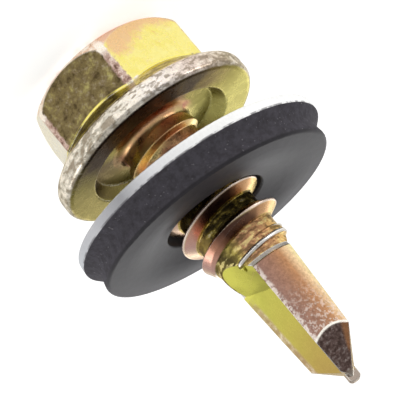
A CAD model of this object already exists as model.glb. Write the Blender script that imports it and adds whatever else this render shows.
"""Looks of a hexagon-head self drilling screw with a bonded sealing washer.

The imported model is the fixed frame: the screw stands on its head, and +Z runs along its axis to
the drill point. Objects are in metres. Patterns are laid out in millimetres and degrees.
"""
from math import cos, degrees, radians, sin, tan
from types import SimpleNamespace

import bmesh
import bpy
from bpy.props import FloatProperty, FloatVectorProperty, PointerProperty
from mathutils import Matrix, Vector


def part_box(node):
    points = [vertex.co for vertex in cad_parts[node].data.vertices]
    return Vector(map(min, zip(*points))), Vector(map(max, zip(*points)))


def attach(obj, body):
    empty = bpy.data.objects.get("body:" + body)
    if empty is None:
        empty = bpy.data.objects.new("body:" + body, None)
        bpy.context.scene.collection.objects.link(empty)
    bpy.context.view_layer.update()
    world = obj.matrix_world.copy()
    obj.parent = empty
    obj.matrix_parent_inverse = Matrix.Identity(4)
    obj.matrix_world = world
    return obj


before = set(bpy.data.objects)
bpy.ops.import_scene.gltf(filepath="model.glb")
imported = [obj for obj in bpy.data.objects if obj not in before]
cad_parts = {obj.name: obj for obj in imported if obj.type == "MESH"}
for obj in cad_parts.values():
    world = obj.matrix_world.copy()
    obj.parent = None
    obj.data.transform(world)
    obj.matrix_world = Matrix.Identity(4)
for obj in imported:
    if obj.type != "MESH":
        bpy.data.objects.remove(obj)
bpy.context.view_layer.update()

bl_info = {
    "name": "Self drilling screw",
    "version": (1, 0, 0),
    "blender": (4, 5, 0),
    "location": "3D View > Sidebar > Fastener",
    "description": "Finishes and stage for a self drilling screw with a bonded sealing washer",
    "category": "Object",
}

MM = 0.001
SCREW_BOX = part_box("screw")

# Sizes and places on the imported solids, in millimetres and degrees, that the finishes follow.
FLAT_REACH = 4.9
RIM_TOP = 5.1
FLANGE_RADIUS = SCREW_BOX[1][0] / MM
FLANGE_SLOPE = 37.0
BEARING_LEVEL = 6.2
RECESS_RADIUS = 4.8
RECESS_LEVEL = 5.4
ROOT_RADIUS = 2.25
THREAD_RADIUS = 3.05
PITCH = 1.8
THREAD_AZIMUTH = 211.0
NECK_LEVEL = 13.9
SHOULDER_LEVEL = 16.05
DRILL_LEVEL = 16.35
DRILL_RADIUS = 2.45
CUTTING_EDGE = 289.0
FACET_LAG = 27.0
FACET_ANGLE = 41.5
CHISEL_LEVEL = 24.05
TIP_LEVEL = SCREW_BOX[1][2] / MM
WASHER_RADIUS = 8.25
WASHER_MIDDLE = 10.65
WASHER_LEAN = 4.6
WASHER_LEAN_AZIMUTH = 230.0

# What settings of one kind have in common.
COLOUR = {"subtype": "COLOR", "size": 4, "min": 0.0, "max": 1.0}
LENGTH = {"subtype": "DISTANCE", "unit": "LENGTH", "precision": 5}
ANGLE = {"subtype": "ANGLE", "unit": "ROTATION"}
POWER = {"subtype": "POWER", "unit": "POWER", "min": 0.0}


def linear(code):
    """Linear colour of an sRGB hex code, with full alpha."""
    channels = [int(code[i : i + 2], 16) / 255 for i in (0, 2, 4)]
    return [c / 12.92 if c <= 0.04045 else ((c + 0.055) / 1.055) ** 2.4 for c in channels] + [1.0]


def add(tree, kind, inputs=None, stops=(), **settings):
    """Adds a node with its settings and its ramp's stops, and sets or links its inputs."""
    node = tree.nodes.new("ShaderNode" + kind)
    for name, value in settings.items():
        setattr(node, name, value)
    for position, tone in stops:
        node.color_ramp.elements.new(position).color = linear(tone)
    if stops:
        node.color_ramp.elements.remove(node.color_ramp.elements[0])
        node.color_ramp.elements.remove(node.color_ramp.elements[-1])
    for key, value in (inputs or {}).items():
        source = value.outputs[0] if isinstance(value, bpy.types.Node) else value
        if isinstance(source, bpy.types.NodeSocket):
            tree.links.new(source, node.inputs[key])
        else:
            node.inputs[key].default_value = source
    return node


def empty_material(name):
    """Node material with nothing in its tree."""
    material = bpy.data.materials.new(name)
    material.use_nodes = True
    material.node_tree.nodes.clear()
    return material


def round_the_axis(tree, place):
    """Radius, azimuth in degrees from -180 to 180, and level of a place round its Z axis."""
    axes = add(tree, "SeparateXYZ", {0: place})
    flat = add(tree, "VectorMath", {0: place, 1: (1, 1, 0)}, operation="MULTIPLY")
    radius = add(tree, "VectorMath", {0: flat}, operation="LENGTH").outputs["Value"]
    angle = add(tree, "Math", {0: axes.outputs[1], 1: axes.outputs[0]}, operation="ARCTAN2")
    azimuth = add(tree, "Math", {0: angle, 1: degrees(1)}, operation="MULTIPLY")
    return radius, azimuth.outputs[0], axes.outputs[2]


def zone(tree, *limits):
    """1 where each value lies between its two limits, and 0 past them, softened by its last.
    None stands for no limit."""
    inside = 1.0
    for value, low, high, soft in limits:
        for limit, below, above in ((low, 0.0, 1.0), (high, 1.0, 0.0)):
            if limit is not None:
                step = {0: value, 1: limit - soft, 2: limit + soft, 3: below, 4: above}
                step = add(tree, "MapRange", step, interpolation_type="SMOOTHSTEP")
                inside = add(tree, "Math", {0: inside, 1: step}, operation="MULTIPLY")
    return inside


def layered(tree, colour, films):
    """Colour under all its films. Each is a tone and amounts that are multiplied."""
    for tone, amount, *others in films:
        for other in others:
            amount = add(tree, "Math", {0: amount, 1: other}, operation="MULTIPLY")
        tone = linear(tone) if isinstance(tone, str) else tone
        film = {0: amount, 6: colour, 7: tone}
        colour = add(tree, "Mix", film, data_type="RGBA", clamp_factor=True).outputs[2]
    return colour


def near_arris(tree, soft):
    """1 on an arris that the soft normal rounds, and 0 away from it."""
    true = add(tree, "NewGeometry").outputs["True Normal"]
    facing = add(tree, "VectorMath", {0: soft, 1: true}, operation="DOT_PRODUCT")
    # The two normals are 10 degrees apart where wear begins, and 26 where it is full.
    return add(tree, "MapRange", {0: facing.outputs["Value"], 1: 0.985, 2: 0.90, 3: 0.0, 4: 1.0})


# ---- Yellow passivated zinc on the screw -------------------------------------------------------


class ScrewFinish(bpy.types.PropertyGroup):
    """Colours and pattern sizes of the screw's yellow zinc."""

    yellow: FloatVectorProperty(
        name="Yellow film",
        description="Passivation where it is fresh and even",
        **COLOUR,
        default=linear("F6E878"),
    )
    pink: FloatVectorProperty(
        name="Pink film",
        description="Passivation where it is a little thinner",
        **COLOUR,
        default=linear("E6B796"),
    )
    brown: FloatVectorProperty(
        name="Brown film",
        description="Passivation where it dried thick",
        **COLOUR,
        default=linear("43352E"),
    )
    rubbed: FloatVectorProperty(
        name="Rubbed zinc",
        description="Bare zinc where the film is rubbed off",
        **COLOUR,
        default=linear("EFEAE0"),
    )
    grain: FloatProperty(
        name="Grain",
        description="Size of the plating's grain",
        **LENGTH,
        min=0.05 * MM,
        default=0.16 * MM,
    )
    blotch: FloatProperty(
        name="Blotches",
        description="Size of the blotches in the passivation",
        **LENGTH,
        min=0.2 * MM,
        default=0.7 * MM,
    )
    cloud: FloatProperty(
        name="Clouds",
        description="Size of the slow changes from yellow to pink",
        **LENGTH,
        min=1.0 * MM,
        default=3.0 * MM,
    )
    wear: FloatProperty(
        name="Wear",
        description="Width of the rubbed strip along each arris",
        **LENGTH,
        min=0.0,
        default=0.09 * MM,
    )


def survey_screw(tree, finish):
    """Where a place on the screw lies, and the noises that its finish varies with."""
    metres = add(tree, "TexCoord").outputs["Object"]
    at = SimpleNamespace()
    at.place = add(tree, "VectorMath", {0: metres, "Scale": 1 / MM}, operation="SCALE")
    at.radius, at.azimuth, at.level = round_the_axis(tree, at.place)
    at.turn = add(tree, "MapRange", {0: at.azimuth, 1: -180.0, 2: 180.0})
    half = add(tree, "Math", {0: at.azimuth, 1: 180.0}, operation="FLOORED_MODULO")
    at.half_turn = add(tree, "MapRange", {0: half, 1: 0.0, 2: 180.0})
    noise = {"Vector": at.place, "Scale": MM / finish.grain, "Detail": 3.0, "Roughness": 0.65}
    at.grain = add(tree, "TexNoise", noise).outputs[0]
    noise = {"Vector": at.place, "Scale": MM / finish.blotch, "Detail": 6.0, "Roughness": 0.72}
    at.blotch = add(tree, "TexNoise", noise).outputs[0]
    noise = {"Vector": at.place, "Scale": MM / finish.cloud, "Detail": 2.0, "Distortion": 0.8}
    at.cloud = add(tree, "TexNoise", noise).outputs[0]
    # Smaller blotches, so that a border and the tones inside it don't run together.
    noise = {"Vector": at.place, "Scale": 1.6 * MM / finish.blotch, "Detail": 5.0, "Roughness": 0.75}
    at.fray = add(tree, "TexNoise", noise).outputs[0]
    # Specks a third the size of a blotch, where something scraped the film off.
    noise = {"Vector": at.place, "Scale": 3.2 * MM / finish.blotch, "Detail": 4.0, "Roughness": 0.7}
    at.scuff = add(tree, "TexNoise", noise).outputs[0]
    # Rolling draws blotches out round the shank.
    drawn = add(tree, "VectorMath", {0: at.place, 1: (0.7, 0.7, 1.6)}, operation="MULTIPLY")
    noise = {"Vector": drawn, "Scale": 1.4 * MM / finish.blotch, "Detail": 4.0, "Roughness": 0.62}
    at.streak = add(tree, "TexNoise", noise).outputs[0]
    drift = add(tree, "Math", {0: at.cloud, 1: 0.5}, operation="SUBTRACT")
    at.wavy_turn = add(tree, "Math", {0: drift, 1: 0.12, 2: at.turn}, operation="MULTIPLY_ADD")
    at.frayed_radius = add(tree, "Math", {0: at.fray, 1: 1.4, 2: at.radius}, operation="MULTIPLY_ADD")
    at.frayed_level = add(tree, "Math", {0: at.fray, 1: 2.4, 2: at.level}, operation="MULTIPLY_ADD")
    return at


def head_films(tree, at, finish):
    """Films on the hexagon: each flat was struck and plated a little differently."""
    head = zone(tree, (at.level, None, RIM_TOP, 0.1), (at.radius, None, FLAT_REACH + 1.4, 0.1))
    crown = ((0.36, "B98F78"), (0.44, "E6CDB6"), (0.52, "F4E9DC"), (0.62, "FBF8F2"))
    films = [(add(tree, "ValToRGB", {0: at.blotch}, crown), head)]
    # Azimuth of each flat, and its tones.
    flats = {
        0: ((0.35, "EDE9D2"), (0.65, "F8F7F2")),
        60: ((0.35, "C9B85A"), (0.65, "E8DB80")),
        120: ((0.35, "8A7A4A"), (0.65, "B5A566")),
        180: ((0.35, "D6B684"), (0.65, "EFDCA4")),
        240: ((0.35, "EEE07C"), (0.65, "F4EA98")),
        300: ((0.36, "4A3E28"), (0.47, "6E6040"), (0.56, "7E6F4A"), (0.66, "A69C62")),
    }
    for face, stops in flats.items():
        square = (cos(radians(face)), sin(radians(face)), 0)
        reach = add(tree, "VectorMath", {0: at.place, 1: square}, operation="DOT_PRODUCT")
        frayed = {0: at.fray, 1: 0.10, 2: reach.outputs["Value"]}
        frayed = add(tree, "Math", frayed, operation="MULTIPLY_ADD")
        flat = zone(tree, (frayed, FLAT_REACH + 0.02, 6, 0.03), (at.level, None, RIM_TOP, 0.1))
        films.append((add(tree, "ValToRGB", {0: at.blotch}, stops), flat))

    # The yellow flat turns pink towards the head's end. Every corner is rubbed but one.
    drifted = add(tree, "Math", {0: at.cloud, 1: 6.0, 2: at.frayed_level}, operation="MULTIPLY_ADD")
    pink = zone(tree, (drifted, None, 5.6, 0.7), (at.azimuth, -160, -92, 3.0))
    films.append((finish.pink, pink, 0.75))
    sixth = add(tree, "Math", {0: at.azimuth, 1: 60.0}, operation="FLOORED_MODULO")
    corner = add(tree, "Math", {0: sixth, 1: 30.0}, operation="SUBTRACT")
    corner = add(tree, "Math", {0: corner}, operation="ABSOLUTE")
    corner = add(tree, "Math", {0: at.fray, 1: 6.0, 2: corner}, operation="MULTIPLY_ADD")
    worn = zone(
        tree,
        (corner, None, 5.6, 0.7),
        (at.radius, FLAT_REACH + 0.2, FLAT_REACH + 1.3, 0.1),
        (at.level, None, RIM_TOP - 0.1, 0.1),
    )
    specked = ((0.35, "6E5648"), (0.44, "A08276"), (0.54, "CCB2A4"), (0.66, "F6EEE6"))
    missed = zone(tree, (at.azimuth, -160, -140, 2.0))
    worn = add(tree, "Math", {0: worn, 1: missed}, operation="SUBTRACT", use_clamp=True)
    films.append((add(tree, "ValToRGB", {0: at.fray}, specked), worn))
    bare = zone(tree, (at.frayed_level, None, 2.9, 0.3))
    films.append(("FBF3E8", bare, worn))
    return films


def flange_films(tree, at, finish):
    """Films on the flange: bright yellow slope, rubbed rim, and an underside that goes from
    yellow green to brown."""
    slope = {0: at.radius, 1: -tan(radians(FLANGE_SLOPE)), 2: at.level}
    slope = add(tree, "Math", slope, operation="MULTIPLY_ADD")
    rest = RIM_TOP - FLANGE_RADIUS * tan(radians(FLANGE_SLOPE))
    up_slope = (at.level, RIM_TOP - 1.9, RIM_TOP + 0.05, 0.1)
    on_slope = zone(tree, (slope, rest - 0.12, rest + 0.12, 0.03), up_slope)

    # The slope is scorched at the foot of the hexagon, and chafed near the rim.
    foot = (at.radius, FLAT_REACH + 0.1, FLAT_REACH + 1.3, 0.08)
    rooted = zone(tree, foot, (at.azimuth, -80, -28, 3.0))
    smoky = add(tree, "ValToRGB", {0: at.fray}, ((0.38, "4E4229"), (0.5, "786A42"), (0.64, "CFC878")))
    outside = (at.frayed_radius, FLANGE_RADIUS - 0.6, None, 0.12)
    chafed = zone(tree, outside, (at.azimuth, None, -88, 4.0))
    chafed = add(tree, "Math", {0: chafed, 1: on_slope}, operation="MULTIPLY")

    # The underside dried brown on one side of the screw.
    beneath = zone(
        tree,
        (at.level, RECESS_LEVEL - 0.2, BEARING_LEVEL + 0.2, 0.05),
        (at.radius, ROOT_RADIUS + 0.15, FLANGE_RADIUS + 0.15, 0.08),
    )
    olive = (
        (0.01, "BAB264"),
        (0.08, "9A9048"),
        (0.13, "7A683C"),
        (0.40, "665A38"),
        (0.46, "7A7038"),
        (0.53, "84793E"),
        (0.75, "A89D5A"),
        (0.99, "BAB264"),
    )
    olive = add(tree, "ValToRGB", {0: at.wavy_turn}, olive)
    smoked = zone(tree, (at.wavy_turn, 0.155, 0.41, 0.035))

    # The relief is bronze, and gilt beside the first turn of the thread.
    relief = zone(
        tree,
        (at.level, RECESS_LEVEL - 0.2, BEARING_LEVEL - 0.1, 0.05),
        (at.radius, None, RECESS_RADIUS + 0.1, 0.1),
    )
    bronze = (
        (0.02, "9C9450"),
        (0.10, "8E8244"),
        (0.16, "7A5848"),
        (0.28, "8E6A58"),
        (0.36, "4E3E2C"),
        (0.42, "857A38"),
        (0.47, "54452C"),
        (0.55, "74663C"),
        (0.98, "ACA45E"),
    )
    bronze = add(tree, "ValToRGB", {0: at.wavy_turn}, bronze)
    by_thread = (at.radius, ROOT_RADIUS + 0.05, THREAD_RADIUS - 0.1, 0.25)
    gilded = zone(tree, by_thread, (at.azimuth, -165, -75, 15))
    gilt = add(tree, "ValToRGB", {0: at.cloud}, ((0.38, "7A5042"), (0.5, "B87A6E"), (0.6, "C89878")))

    # The rim is rubbed to speckled zinc, with dark pits and bright spots.
    speckled = zone(
        tree,
        (at.frayed_radius, FLANGE_RADIUS + 0.3, None, 0.12),
        (at.level, RIM_TOP - 0.8, BEARING_LEVEL - 0.08, 0.05),
    )
    speckled = add(tree, "Math", {0: speckled, 1: chafed}, operation="MAXIMUM")
    rim = (
        (0.02, "C6B998"),
        (0.09, "B8AB92"),
        (0.17, "DCCABE"),
        (0.23, "F6EEE6"),
        (0.28, "EBE4D6"),
        (0.33, "BDB6A6"),
        (0.40, "C2BAAA"),
        (0.45, "CFC8B8"),
        (0.50, "BDB49C"),
        (0.98, "C6B998"),
    )
    rim = add(tree, "ValToRGB", {0: at.turn}, rim)
    pitted = zone(tree, (at.streak, 0.54, None, 0.04))
    shiny = zone(tree, (at.streak, None, 0.44, 0.03))
    return [
        (finish.yellow, on_slope),
        (smoky, rooted, on_slope),
        (olive, beneath),
        (finish.brown, smoked, beneath),
        (bronze, relief),
        (gilt, gilded, relief),
        (rim, speckled),
        ("84745F", pitted, speckled, 0.7),
        ("F2E8D8", shiny, speckled, 0.8),
    ], speckled


def thread_films(tree, at):
    """Films on the thread: dark gold root, straw gold neck, straw to salmon flanks, a copper
    first turn, rubbed crests, and white zinc on the last half turn and the shoulder's edge."""
    shank = (at.level, BEARING_LEVEL - 0.3, SHOULDER_LEVEL, 0.05)
    root = zone(tree, shank, (at.radius, ROOT_RADIUS - 0.07, ROOT_RADIUS + 0.1, 0.04))
    gold = ((0.40, "4C422A"), (0.48, "6C5E36"), (0.54, "8C7A3A"), (0.60, "D8C262"), (0.67, "F6E4B0"))
    gold = add(tree, "ValToRGB", {0: at.streak}, gold)
    lit = zone(tree, (at.azimuth, -42, 25, 8.0))

    above = (at.level, NECK_LEVEL, SHOULDER_LEVEL, 0.3)
    neck = zone(tree, above, (at.radius, ROOT_RADIUS - 0.25, ROOT_RADIUS + 0.25, 0.04))
    straw_gold = (
        (0.05, "E6C078"),
        (0.13, "DDB070"),
        (0.18, "B98A62"),
        (0.28, "AC8060"),
        (0.34, "A89850"),
        (0.38, "4A4228"),
        (0.44, "8A7A40"),
        (0.95, "E6C078"),
    )
    straw_gold = add(tree, "ValToRGB", {0: at.wavy_turn}, straw_gold)
    dull = zone(tree, (at.streak, None, 0.46, 0.05))
    glint = zone(tree, (at.streak, 0.56, None, 0.04))

    flank = zone(tree, shank, (at.radius, ROOT_RADIUS + 0.12, THREAD_RADIUS - 0.08, 0.05))
    straw = (
        (0.02, "EBCF86"),
        (0.09, "E8BA88"),
        (0.16, "C89870"),
        (0.20, "664A3C"),
        (0.31, "5A3E34"),
        (0.35, "B8846A"),
        (0.39, "D8A48E"),
        (0.46, "C8A096"),
        (0.52, "DCC0A8"),
        (0.75, "C99A6E"),
        (0.98, "EBCF86"),
    )
    straw = add(tree, "ValToRGB", {0: at.wavy_turn}, straw)
    foot = (at.level, RECESS_LEVEL + 0.1, BEARING_LEVEL + 2.2, 0.2)
    first_turn = zone(tree, foot, (at.radius, ROOT_RADIUS - 0.25, THREAD_RADIUS - 0.1, 0.04))
    copper = ((0.38, "7E5644"), (0.45, "BC8668"), (0.51, "E2B282"), (0.58, "F8E09C"))
    copper = add(tree, "ValToRGB", {0: at.cloud}, copper)

    crest = zone(tree, shank, (at.radius, THREAD_RADIUS - 0.08, THREAD_RADIUS + 0.15, 0.03))
    shoulder = (at.level, SHOULDER_LEVEL - 0.04, DRILL_LEVEL - 0.05, 0.03)
    edge = zone(tree, shoulder, (at.radius, ROOT_RADIUS - 0.05, DRILL_RADIUS + 0.01, 0.02))
    below = (at.level, NECK_LEVEL + 0.7, SHOULDER_LEVEL - 0.25, 0.05)
    last_turn = zone(tree, below, (at.radius, ROOT_RADIUS + 0.09, ROOT_RADIUS + 0.35, 0.02))
    patchy = zone(tree, (at.streak, 0.36, None, 0.06))
    return [
        (gold, root),
        ("B49A5A", lit, root, 0.7),
        (straw_gold, neck),
        ("4A3E26", dull, neck, 0.65),
        ("F2E098", glint, neck, 0.6),
        (straw, flank),
        (copper, first_turn),
        ("F3DCCB", crest),
        ("F6F2EA", edge),
        ("F2EEE8", last_turn, patchy),
    ], root, edge


def drill_films(tree, at):
    """Films on the drill section: yellow green flutes, and lands rubbed pink brown to cream."""
    neck = (at.level, NECK_LEVEL + 0.1, DRILL_LEVEL, 0.02)
    in_neck = zone(tree, neck, (at.radius, None, ROOT_RADIUS - 0.08, 0.02))
    drill = (at.level, DRILL_LEVEL, None, 0.02)
    in_drill = zone(tree, drill, (at.radius, None, DRILL_RADIUS - 0.03, 0.02))
    flute = add(tree, "Math", {0: in_neck, 1: in_drill}, operation="MAXIMUM")
    along = add(tree, "Math", {0: at.cloud, 1: 3.0, 2: at.level}, operation="MULTIPLY_ADD")
    along = add(tree, "MapRange", {0: along, 1: 15.5, 2: 26.5})
    green = (
        (0.10, "ECE86C"),
        (0.20, "D8D462"),
        (0.27, "B8B454"),
        (0.50, "B6AA52"),
        (0.75, "AE9650"),
        (0.95, "A88C50"),
    )
    green = add(tree, "ValToRGB", {0: along}, green)
    heel = zone(tree, (at.radius, 2.0, 2.6, 0.15), (at.frayed_level, 18.2, None, 0.7))
    chafed = ((0.40, "A08468"), (0.50, "BCA588"), (0.60, "DCCDB8"))
    chafed = add(tree, "ValToRGB", {0: at.blotch}, chafed)

    drill = (at.level, DRILL_LEVEL - 0.03, None, 0.02)
    land = zone(tree, drill, (at.radius, DRILL_RADIUS - 0.015, None, 0.01))
    tones = ((0.24, "EEE2AA"), (0.31, "DFBF96"), (0.38, "B4845E"), (0.47, "9E7660"), (0.58, "957468"))
    tones = add(tree, "ValToRGB", {0: at.half_turn}, tones)
    scuffed = zone(tree, (at.frayed_level, 21.0, None, 1.8), (at.scuff, 0.54, None, 0.03))
    scraped = zone(tree, (at.half_turn, 0.575, 0.64, 0.012), (at.scuff, 0.47, None, 0.03))
    return [
        (green, flute),
        (chafed, heel, flute, 0.8),
        (tones, land),
        ("E2D3C8", scuffed, land, 0.6),
        ("E9DDD3", scraped, land, 0.7),
    ], land


def point_films(tree, at, finish):
    """Films on the drill's point: dark relief facets with a rubbed arc, and a grey chisel edge."""
    fall = radians(CUTTING_EDGE - FACET_LAG)
    downhill = (cos(fall), sin(fall), 0)
    aside = add(tree, "VectorMath", {0: at.place, 1: downhill}, operation="DOT_PRODUCT")
    aside = add(tree, "Math", {0: aside.outputs["Value"]}, operation="ABSOLUTE")
    # Level plus the drop of the facet up to there is the point's own level all over the facet.
    ground = {0: aside, 1: 1 / tan(radians(FACET_ANGLE)), 2: at.level}
    ground = add(tree, "Math", ground, operation="MULTIPLY_ADD")
    on_point = (at.level, 21, CHISEL_LEVEL + 0.05, 0.1)
    facet = zone(tree, (ground, TIP_LEVEL - 0.03, None, 0.02), on_point)
    dark = ((0.38, "574640"), (0.5, "75605A"), (0.58, "8A7670"), (0.68, "BCB0AA"))
    dark = add(tree, "ValToRGB", {0: at.scuff}, dark)
    scorched = zone(tree, (at.half_turn, 0.20, 0.36, 0.02), (at.radius, 1.3, 3.0, 0.2))
    facet_edge = (ground, TIP_LEVEL - 0.16, TIP_LEVEL - 0.02, 0.03)
    arc = zone(tree, facet_edge, (at.radius, DRILL_RADIUS - 0.02, None, 0.01))
    chisel = zone(tree, (at.level, CHISEL_LEVEL, None, 0.1), (at.radius, None, 0.8, 0.05))
    return [
        (dark, facet),
        ("B4805A", scorched, facet),
        (finish.rubbed, arc),
        ("A4968A", chisel),
    ], facet


def yellow_zinc(finish):
    """Cold-forged steel, zinc plated and yellow passivated: semi-bright, with a chromate film
    that shifts from yellow green to pink, goes brown where it is thick, and is rubbed down to
    white zinc on the arrises."""
    material = empty_material("yellow passivated zinc on cold-forged steel")
    tree = material.node_tree
    at = survey_screw(tree, finish)
    soft = add(tree, "Bevel", {"Radius": finish.wear}, samples=6)

    flange, rim = flange_films(tree, at, finish)
    shank, root, edge = thread_films(tree, at)
    drill, land = drill_films(tree, at)
    point, facet = point_films(tree, at, finish)
    colour = add(tree, "ValToRGB", {0: at.cloud}, ((0.3, "D9CC62"), (0.5, "E6D67C"), (0.7, "DDA98E")))
    films = head_films(tree, at, finish) + flange + shank + drill + point
    colour = layered(tree, colour, films)

    # The film is even, but grainy on the rim, the root, the lands and the facets.
    grainy = add(tree, "Math", {0: rim, 1: root}, operation="ADD")
    grainy = add(tree, "Math", {0: grainy, 1: land}, operation="ADD")
    grainy = add(tree, "Math", {0: grainy, 1: facet}, operation="ADD")
    depth = add(tree, "MapRange", {0: grainy, 1: 0.0, 2: 1.0, 3: 0.14, 4: 1.0})
    off = add(tree, "Math", {0: at.grain, 1: 0.5}, operation="SUBTRACT")
    bright = add(tree, "Math", {0: off, 1: depth, 2: 1.0}, operation="MULTIPLY_ADD")
    colour = add(tree, "HueSaturation", {"Color": colour, "Value": bright})

    # Arrises are rubbed bare, the crests half as much, and the first turn, the root and the
    # drill's upper end not at all.
    flank = THREAD_RADIUS - 0.3
    air = THREAD_RADIUS + 0.25
    first_turn = BEARING_LEVEL + 2.4
    start = RIM_TOP - 0.1
    kept = zone(tree, (at.level, start, DRILL_LEVEL + 1.25, 0.1), (at.radius, None, flank, 0.05))
    shaded = zone(tree, (at.level, start, first_turn, 0.2), (at.radius, None, air, 0.05))
    kept = add(tree, "Math", {0: kept, 1: shaded}, operation="MAXIMUM")
    crest = zone(tree, (at.level, first_turn, SHOULDER_LEVEL, 0.2), (at.radius, flank, air, 0.05))
    kept = add(tree, "Math", {0: crest, 1: 0.5, 2: kept}, operation="MULTIPLY_ADD")
    worn = {0: near_arris(tree, soft), 1: kept}
    worn = add(tree, "Math", worn, operation="SUBTRACT", use_clamp=True)
    colour = layered(tree, colour, [(finish.rubbed, worn)])
    roughness = add(tree, "MapRange", {0: at.blotch, 1: 0.35, 2: 0.65, 3: 0.20, 4: 0.38})
    relief = {"Height": at.grain, "Distance": 0.01 * MM, "Strength": 0.5, "Normal": soft}
    relief = add(tree, "Bump", relief)
    # White rust on the shoulder's edge is a matt powder, not metal.
    metal = add(tree, "MapRange", {0: edge, 3: 1.0, 4: 0.3})
    surface = {
        "Base Color": colour,
        "Metallic": metal,
        "Roughness": roughness,
        "Specular Tint": linear("DAD6CF"),
        "Normal": relief,
    }
    surface = add(tree, "BsdfPrincipled", surface)
    add(tree, "OutputMaterial", {"Surface": surface})
    return material


# ---- Thread's last half turn -------------------------------------------------------------------

# Turns of the thread before it, and the azimuth at which it starts.
RUN_OUT_TURNS = 5
RUN_OUT_START = 135.0
# Its section in millimetres. The crest's radius is a setting.
FOOT_RADIUS = 1.90
FOOT_HALF_WIDTH = 0.38
CREST_HALF_WIDTH = 0.08
# Degrees of each step of the sweep, and how each of the last steps shrinks into the neck.
ROLLING_STEP = 3.0
SINKING = (0.985, 0.97, 0.95)


class RunOut(bpy.types.PropertyGroup):
    """Sizes of the thread's last half turn."""

    reach: FloatProperty(
        name="Radius",
        description="Screw's axis to the crest of the last half turn",
        **LENGTH,
        min=2.3 * MM,
        max=3.0 * MM,
        default=2.42 * MM,
    )
    sweep: FloatProperty(
        name="Sweep",
        description="Angle that the last half turn goes round before it fades",
        **ANGLE,
        min=radians(30),
        max=radians(200),
        default=radians(165),
    )


def roll_run_out(run_out):
    """Last half turn of the thread, rolled so low that it fades into the neck before the
    shoulder. Its foot is sunk in the neck."""
    start = radians(RUN_OUT_START)
    level = BEARING_LEVEL + PITCH * (RUN_OUT_TURNS + (RUN_OUT_START - THREAD_AZIMUTH) / 360)
    crest = run_out.reach / MM
    section = (
        (FOOT_RADIUS, -FOOT_HALF_WIDTH),
        (crest, -CREST_HALF_WIDTH),
        (crest, CREST_HALF_WIDTH),
        (FOOT_RADIUS, FOOT_HALF_WIDTH),
    )
    shape = bmesh.new()
    corners = []
    for reach, rise in section:
        corner = Vector((reach * cos(start), reach * sin(start), level + rise))
        corners.append(shape.verts.new(corner * MM))
    ring = [shape.edges.new((corners[i - 1], corners[i])) for i in range(len(corners))]

    step = radians(ROLLING_STEP)
    climb = Vector((0, 0, PITCH * MM * ROLLING_STEP / 360))
    axis = {"cent": (0, 0, 0), "axis": (0, 0, 1), "dvec": climb}
    steps = round(run_out.sweep / step)
    profile = corners + ring
    swept = bmesh.ops.spin(shape, geom=profile, angle=steps * step, steps=steps, **axis)
    for shrink in SINKING:
        swept = bmesh.ops.spin(shape, geom=swept["geom_last"], angle=step, steps=1, **axis)
        tail = [corner for corner in swept["geom_last"] if isinstance(corner, bmesh.types.BMVert)]
        bmesh.ops.scale(shape, vec=(shrink, shrink, 1), verts=tail)
    bmesh.ops.holes_fill(shape, edges=shape.edges, sides=4)
    bmesh.ops.recalc_face_normals(shape, faces=shape.faces)

    mesh = bpy.data.meshes.new("thread_run_out")
    shape.to_mesh(mesh)
    shape.free()
    mesh.shade_smooth()
    ridge = bpy.data.objects.new("thread_run_out", mesh)
    bpy.context.scene.collection.objects.link(ridge)
    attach(ridge, "screw_body")


# ---- Washer ------------------------------------------------------------------------------------

# Rounding of the punched edge, and sizes of the fine patterns, in millimetres.
PUNCHED_ROUNDING = 0.06
ZINC_GRAIN = 0.2
ZINC_SMUDGE = 0.8
RUBBER_SMEAR = 0.5


class WasherFinish(bpy.types.PropertyGroup):
    """Colours and pattern sizes of the washer's zinc and rubber."""

    zinc: FloatVectorProperty(
        name="Zinc",
        description="Galvanised faces of the metal washer",
        **COLOUR,
        default=linear("D6D8D8"),
    )
    rubber: FloatVectorProperty(
        name="Rubber",
        description="Clean sealing face",
        **COLOUR,
        default=linear("2C2A2D"),
    )
    dust: FloatVectorProperty(
        name="Dust",
        description="Chalk and dust in the rubber's cut wall",
        **COLOUR,
        default=linear("9A969A"),
    )
    spangle: FloatProperty(
        name="Spangle",
        description="Size of the zinc's crystals",
        **LENGTH,
        min=0.2 * MM,
        default=1.6 * MM,
    )
    filler: FloatProperty(
        name="Filler",
        description="Size of the pale specks in the rubber",
        **LENGTH,
        min=0.05 * MM,
        default=0.16 * MM,
    )


def survey_washer(tree):
    """Where a place lies in the washer's own frame: its middle, with Z through its bore."""
    metres = add(tree, "TexCoord").outputs["Object"]
    place = add(tree, "VectorMath", {0: metres, "Scale": 1 / MM}, operation="SCALE")
    pose = {
        "Vector": place,
        "Location": (0, 0, WASHER_MIDDLE),
        "Rotation": (0, radians(-WASHER_LEAN), radians(WASHER_LEAN_AZIMUTH)),
    }
    at = SimpleNamespace()
    at.place = add(tree, "Mapping", pose, vector_type="TEXTURE")
    at.radius, at.azimuth, at.level = round_the_axis(tree, at.place)
    at.turn = add(tree, "MapRange", {0: at.azimuth, 1: -180.0, 2: 180.0})
    return at


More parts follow.
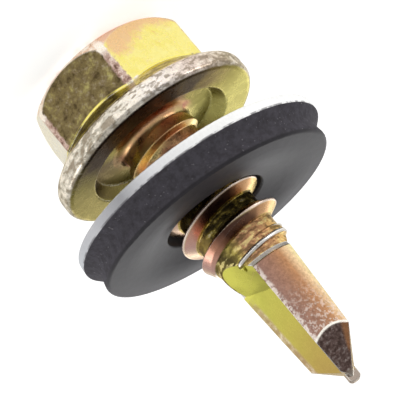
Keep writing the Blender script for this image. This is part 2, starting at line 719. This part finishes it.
def galvanised_steel(finish):
    """Galvanised strip, punched out: soft grey zinc faces, and a sheared edge with a bright
    smooth zone above a duller, torn one."""
    material = empty_material("galvanised and punched steel strip")
    tree = material.node_tree
    at = survey_washer(tree)
    noise = {"Vector": at.place, "Scale": 1 / ZINC_GRAIN, "Detail": 4.0, "Roughness": 0.65}
    grain = add(tree, "TexNoise", noise).outputs[0]
    noise = {"Vector": at.place, "Scale": MM / finish.spangle, "Detail": 2.0, "Distortion": 0.5}
    spangle = add(tree, "TexNoise", noise).outputs[0]
    noise = {"Vector": at.place, "Scale": 1 / ZINC_SMUDGE, "Detail": 6.0, "Roughness": 0.7}
    smudge = add(tree, "TexNoise", noise).outputs[0]
    soft = add(tree, "Bevel", {"Radius": PUNCHED_ROUNDING * MM}, samples=6)
    crystal = add(tree, "MapRange", {0: spangle, 1: 0.35, 2: 0.65, 3: 0.88, 4: 1.08})
    colour = add(tree, "HueSaturation", {"Color": finish.zinc, "Value": crystal})

    sheared = zone(tree, (at.radius, WASHER_RADIUS - 0.1, None, 0.03))
    tones = (
        (0.45, "F2F2F0"),
        (0.60, "F4F4F2"),
        (0.66, "DADADC"),
        (0.71, "969699"),
        (0.77, "B8B8BB"),
        (0.86, "B0B3B8"),
    )
    tones = add(tree, "ValToRGB", {0: at.turn}, tones)
    torn = zone(tree, (at.level, -0.60, -0.40, 0.04), (smudge, 0.50, None, 0.06))
    colour = layered(tree, colour, [(tones, sheared), ("5E5C60", torn, sheared, 0.8)])
    bright = add(tree, "MapRange", {0: grain, 1: 0.3, 2: 0.7, 3: 0.92, 4: 1.05})
    colour = add(tree, "HueSaturation", {"Color": colour, "Value": bright})
    roughness = add(tree, "MapRange", {0: grain, 1: 0.3, 2: 0.7, 3: 0.30, 4: 0.45})
    relief = {"Height": grain, "Distance": 0.006 * MM, "Strength": 0.5, "Normal": soft}
    relief = add(tree, "Bump", relief)
    surface = {"Base Color": colour, "Metallic": 1.0, "Roughness": roughness, "Normal": relief}
    surface = add(tree, "BsdfPrincipled", surface)
    add(tree, "OutputMaterial", {"Surface": surface})
    return material


def epdm_rubber(finish):
    """Black EPDM, moulded on to the strip and punched with it: a satin sealing face, and a dry
    cut wall with dust and pale specks of filler."""
    material = empty_material("moulded and punched EPDM rubber")
    tree = material.node_tree
    at = survey_washer(tree)
    noise = {"Vector": at.place, "Scale": 1 / RUBBER_SMEAR, "Detail": 6.0, "Roughness": 0.75}
    smear = add(tree, "TexNoise", noise).outputs[0]
    noise = {"Vector": at.place, "Scale": MM / finish.filler, "Detail": 2.0}
    filler = add(tree, "TexNoise", noise).outputs[0]
    wall = zone(tree, (at.radius, WASHER_RADIUS - 0.7, None, 0.08), (at.level, None, 1.05, 0.06))
    specks = add(tree, "MapRange", {0: filler, 1: 0.68, 2: 0.76})
    cut = add(tree, "ValToRGB", {0: smear}, ((0.35, "423F43"), (0.6, "56535A")))
    face = add(tree, "ValToRGB", {0: smear}, ((0.35, "343136"), (0.7, "444147")))
    faced = add(tree, "Mix", {0: 0.5, 6: finish.rubber, 7: face}, data_type="RGBA").outputs[2]
    colour = layered(tree, faced, [(cut, wall), (finish.dust, specks, wall)])
    roughness = add(tree, "MapRange", {0: wall, 1: 0.0, 2: 1.0, 3: 0.5, 4: 0.85})
    relief = add(tree, "Bump", {"Height": smear, "Distance": 0.02 * MM, "Strength": 0.3})
    surface = {
        "Base Color": colour,
        "Roughness": roughness,
        "Specular IOR Level": 0.2,
        "Normal": relief,
    }
    surface = add(tree, "BsdfPrincipled", surface)
    add(tree, "OutputMaterial", {"Surface": surface})
    return material


# ---- Stage -------------------------------------------------------------------------------------

# Soft boxes: azimuth and elevation in degrees, then width, height and distance in metres.
SOFT_BOXES = {
    "key": (200, 12, 0.16, 0.10, 0.3),
    "fill": (10, 18, 0.16, 0.10, 0.3),
    "back": (100, 12, 0.30, 0.08, 0.3),
}
FLOOR_SIDES = 96
LENS = 225
SENSOR_WIDTH = 36
# Point at which the camera looks, in millimetres.
CAMERA_AIM = (0.31488, 0.04987, 10.35984)


class Studio(bpy.types.PropertyGroup):
    """Floor, lamps and camera."""

    card: FloatVectorProperty(
        name="Card",
        description="Colour of the floor",
        **COLOUR,
        default=linear("F6F6F6"),
    )
    floor_radius: FloatProperty(
        name="Floor",
        description="Radius of the floor",
        **LENGTH,
        min=0.5,
        default=1.2,
    )
    lift: FloatProperty(
        name="Lift",
        description="How far the floor is lifted towards white for the camera and in the metal",
        subtype="FACTOR",
        min=0.0,
        max=1.0,
        default=0.55,
    )
    key_power: FloatProperty(
        name="Key lamp",
        description="Power of the soft box on the screw's -X side",
        **POWER,
        default=0.13,
    )
    fill_power: FloatProperty(
        name="Fill lamp",
        description="Power of the soft box on the screw's +X side",
        **POWER,
        default=0.10,
    )
    back_power: FloatProperty(
        name="Back lamp",
        description="Power of the wide soft box behind the screw",
        **POWER,
        default=0.16,
    )
    azimuth: FloatProperty(
        name="Camera azimuth",
        description="Direction of the camera round the screw's axis",
        **ANGLE,
        default=radians(279.0),
    )
    elevation: FloatProperty(
        name="Camera elevation",
        description="Camera's angle above the floor",
        **ANGLE,
        default=radians(19.7753),
    )
    roll: FloatProperty(
        name="Camera roll",
        description="Turn of the camera about its own line of sight",
        **ANGLE,
        default=radians(140.334),
    )
    distance: FloatProperty(
        name="Camera distance",
        description="Camera to the point it looks at",
        **LENGTH,
        min=0.05,
        default=145.476 * MM,
    )


def white_card(studio):
    """Matt white card. For the camera and in the metal it glows most of the way to white, and
    what the lamps add keeps the screw's shadow."""
    material = empty_material("matt white card")
    tree = material.node_tree
    ray = add(tree, "LightPath").outputs
    seen = add(tree, "Math", {0: ray["Is Camera Ray"], 1: ray["Is Glossy Ray"]}, operation="MAXIMUM")
    seen = add(tree, "Math", {0: seen, 1: ray["Is Transmission Ray"]}, operation="MAXIMUM")
    lift = add(tree, "Math", {0: seen, 1: studio.lift}, operation="MULTIPLY")
    matt = add(tree, "BsdfDiffuse", {"Color": studio.card})
    glow = add(tree, "Emission", {"Strength": lift})
    card = add(tree, "AddShader", {0: matt, 1: glow})
    add(tree, "OutputMaterial", {"Surface": card})
    return material


def lay_floor(studio):
    """Round white floor under the head."""
    mesh = bpy.data.meshes.new("floor")
    shape = bmesh.new()
    bmesh.ops.create_circle(shape, cap_ends=True, segments=FLOOR_SIDES, radius=studio.floor_radius)
    shape.to_mesh(mesh)
    shape.free()
    floor = bpy.data.objects.new("floor", mesh)
    bpy.context.scene.collection.objects.link(floor)
    mesh.materials.append(white_card(studio))


def outward(azimuth, elevation):
    """Unit vector at an azimuth and an elevation in radians."""
    return Vector((cos(azimuth) * cos(elevation), sin(azimuth) * cos(elevation), sin(elevation)))


def hang_soft_box(name, power):
    """Soft box that points at the middle of the screw."""
    azimuth, elevation, width, height, distance = SOFT_BOXES[name]
    data = bpy.data.lights.new(name, "AREA")
    data.shape = "RECTANGLE"
    data.size = width
    data.size_y = height
    data.energy = power
    lamp = bpy.data.objects.new(name, data)
    bpy.context.scene.collection.objects.link(lamp)
    away = outward(radians(azimuth), radians(elevation))
    turn = away.to_track_quat("Z", "Y").to_matrix().to_4x4()
    middle = Vector((0, 0, SCREW_BOX[1][2] / 2))
    lamp.matrix_world = Matrix.Translation(middle + distance * away) @ turn


def light_world():
    """Studio walls: pale at the back and sides, darker overhead and behind the camera."""
    world = bpy.data.worlds.new("studio")
    bpy.context.scene.world = world
    world.use_nodes = True
    tree = world.node_tree
    tree.nodes.clear()
    ray = add(tree, "TexCoord").outputs["Generated"]
    axes = add(tree, "SeparateXYZ", {0: ray})
    above = add(tree, "MapRange", {0: axes.outputs[2], 1: 0.60, 2: 0.85, 3: 0.92, 4: 0.70})
    behind = add(tree, "MapRange", {0: axes.outputs[1], 1: -0.9, 2: 0.3, 3: 0.60, 4: 1.0})
    glow = add(tree, "Math", {0: above, 1: behind}, operation="MULTIPLY")
    sky = add(tree, "Background", {"Strength": glow})
    add(tree, "OutputWorld", {"Surface": sky})


def set_camera(studio):
    """Camera that looks down on the drill point, with the screw's axis from top left to bottom
    right."""
    data = bpy.data.cameras.new("camera")
    data.lens = LENS
    data.sensor_width = SENSOR_WIDTH
    data.clip_start = 0.005
    data.clip_end = 5
    camera = bpy.data.objects.new("camera", data)
    bpy.context.scene.collection.objects.link(camera)
    away = outward(studio.azimuth, studio.elevation)
    turn = away.to_track_quat("Z", "Y").to_matrix().to_4x4()
    place = Matrix.Translation(Vector(CAMERA_AIM) * MM + studio.distance * away)
    camera.matrix_world = place @ turn @ Matrix.Rotation(studio.roll, 4, "Z")
    bpy.context.scene.camera = camera


# ---- Operators and panel -----------------------------------------------------------------------


def dress(node, material):
    """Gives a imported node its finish."""
    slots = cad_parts[node].material_slots
    if not slots:
        raise RuntimeError(f"{node} has no material slot to dress")
    for slot in slots:
        slot.material = material


class FASTENER_OT_roll_run_out(bpy.types.Operator):
    """Roll the last half turn of the thread, which fades into the neck"""

    bl_idname = "fastener.roll_run_out"
    bl_label = "Roll thread run-out"

    def execute(self, context):
        """Makes the last half turn."""
        roll_run_out(context.scene.run_out)
        return {"FINISHED"}


class FASTENER_OT_dress_screw(bpy.types.Operator):
    """Dress the screw and its thread's last half turn in yellow passivated zinc"""

    bl_idname = "fastener.dress_screw"
    bl_label = "Dress screw"

    def execute(self, context):
        """Makes the finish and gives it to the screw and the last half turn."""
        zinc = yellow_zinc(context.scene.screw_finish)
        dress("screw", zinc)
        context.scene.objects["thread_run_out"].data.materials.append(zinc)
        return {"FINISHED"}


class FASTENER_OT_dress_metal_washer(bpy.types.Operator):
    """Dress the metal washer in galvanised steel"""

    bl_idname = "fastener.dress_metal_washer"
    bl_label = "Dress metal washer"

    def execute(self, context):
        """Makes the finish and gives it to the metal washer."""
        dress("metal_washer", galvanised_steel(context.scene.washer_finish))
        return {"FINISHED"}


class FASTENER_OT_dress_rubber_seal(bpy.types.Operator):
    """Dress the seal in black rubber"""

    bl_idname = "fastener.dress_rubber_seal"
    bl_label = "Dress rubber seal"

    def execute(self, context):
        """Makes the finish and gives it to the seal."""
        dress("rubber_seal", epdm_rubber(context.scene.washer_finish))
        return {"FINISHED"}


class FASTENER_OT_set_stage(bpy.types.Operator):
    """Lay the floor, hang the lamps and set the camera"""

    bl_idname = "fastener.set_stage"
    bl_label = "Set stage"

    def execute(self, context):
        """Makes the floor, the lamps, the world and the camera."""
        studio = context.scene.studio
        lay_floor(studio)
        set_camera(studio)
        light_world()
        hang_soft_box("key", studio.key_power)
        hang_soft_box("fill", studio.fill_power)
        hang_soft_box("back", studio.back_power)
        context.scene.view_settings.view_transform = "Standard"
        return {"FINISHED"}


OPERATORS = (
    FASTENER_OT_set_stage,
    FASTENER_OT_roll_run_out,
    FASTENER_OT_dress_screw,
    FASTENER_OT_dress_metal_washer,
    FASTENER_OT_dress_rubber_seal,
)
SETTINGS = {
    "run_out": RunOut,
    "screw_finish": ScrewFinish,
    "washer_finish": WasherFinish,
    "studio": Studio,
}


class FASTENER_PT_sidebar(bpy.types.Panel):
    """Settings and steps of the self drilling screw"""

    bl_idname = "FASTENER_PT_sidebar"
    bl_label = "Self drilling screw"
    bl_space_type = "VIEW_3D"
    bl_region_type = "UI"
    bl_category = "Fastener"

    def draw(self, context):
        """Lists the settings, then the steps."""
        for name, group in SETTINGS.items():
            box = self.layout.box()
            for setting in group.__annotations__:
                box.prop(getattr(context.scene, name), setting)
        for step in OPERATORS:
            self.layout.operator(step.bl_idname)


def register():
    """Registers the settings, the operators and the panel."""
    for name, group in SETTINGS.items():
        bpy.utils.register_class(group)
        setattr(bpy.types.Scene, name, PointerProperty(type=group))
    for part in (*OPERATORS, FASTENER_PT_sidebar):
        bpy.utils.register_class(part)


def unregister():
    """Takes the panel, the operators and the settings out again."""
    for part in (FASTENER_PT_sidebar, *OPERATORS):
        bpy.utils.unregister_class(part)
    for name, group in SETTINGS.items():
        delattr(bpy.types.Scene, name)
        bpy.utils.unregister_class(group)


def main():
    """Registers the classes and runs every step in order."""
    register()
    bpy.ops.fastener.set_stage()
    bpy.ops.fastener.roll_run_out()
    bpy.ops.fastener.dress_screw()
    bpy.ops.fastener.dress_metal_washer()
    bpy.ops.fastener.dress_rubber_seal()


if __name__ == "__main__":
    main()
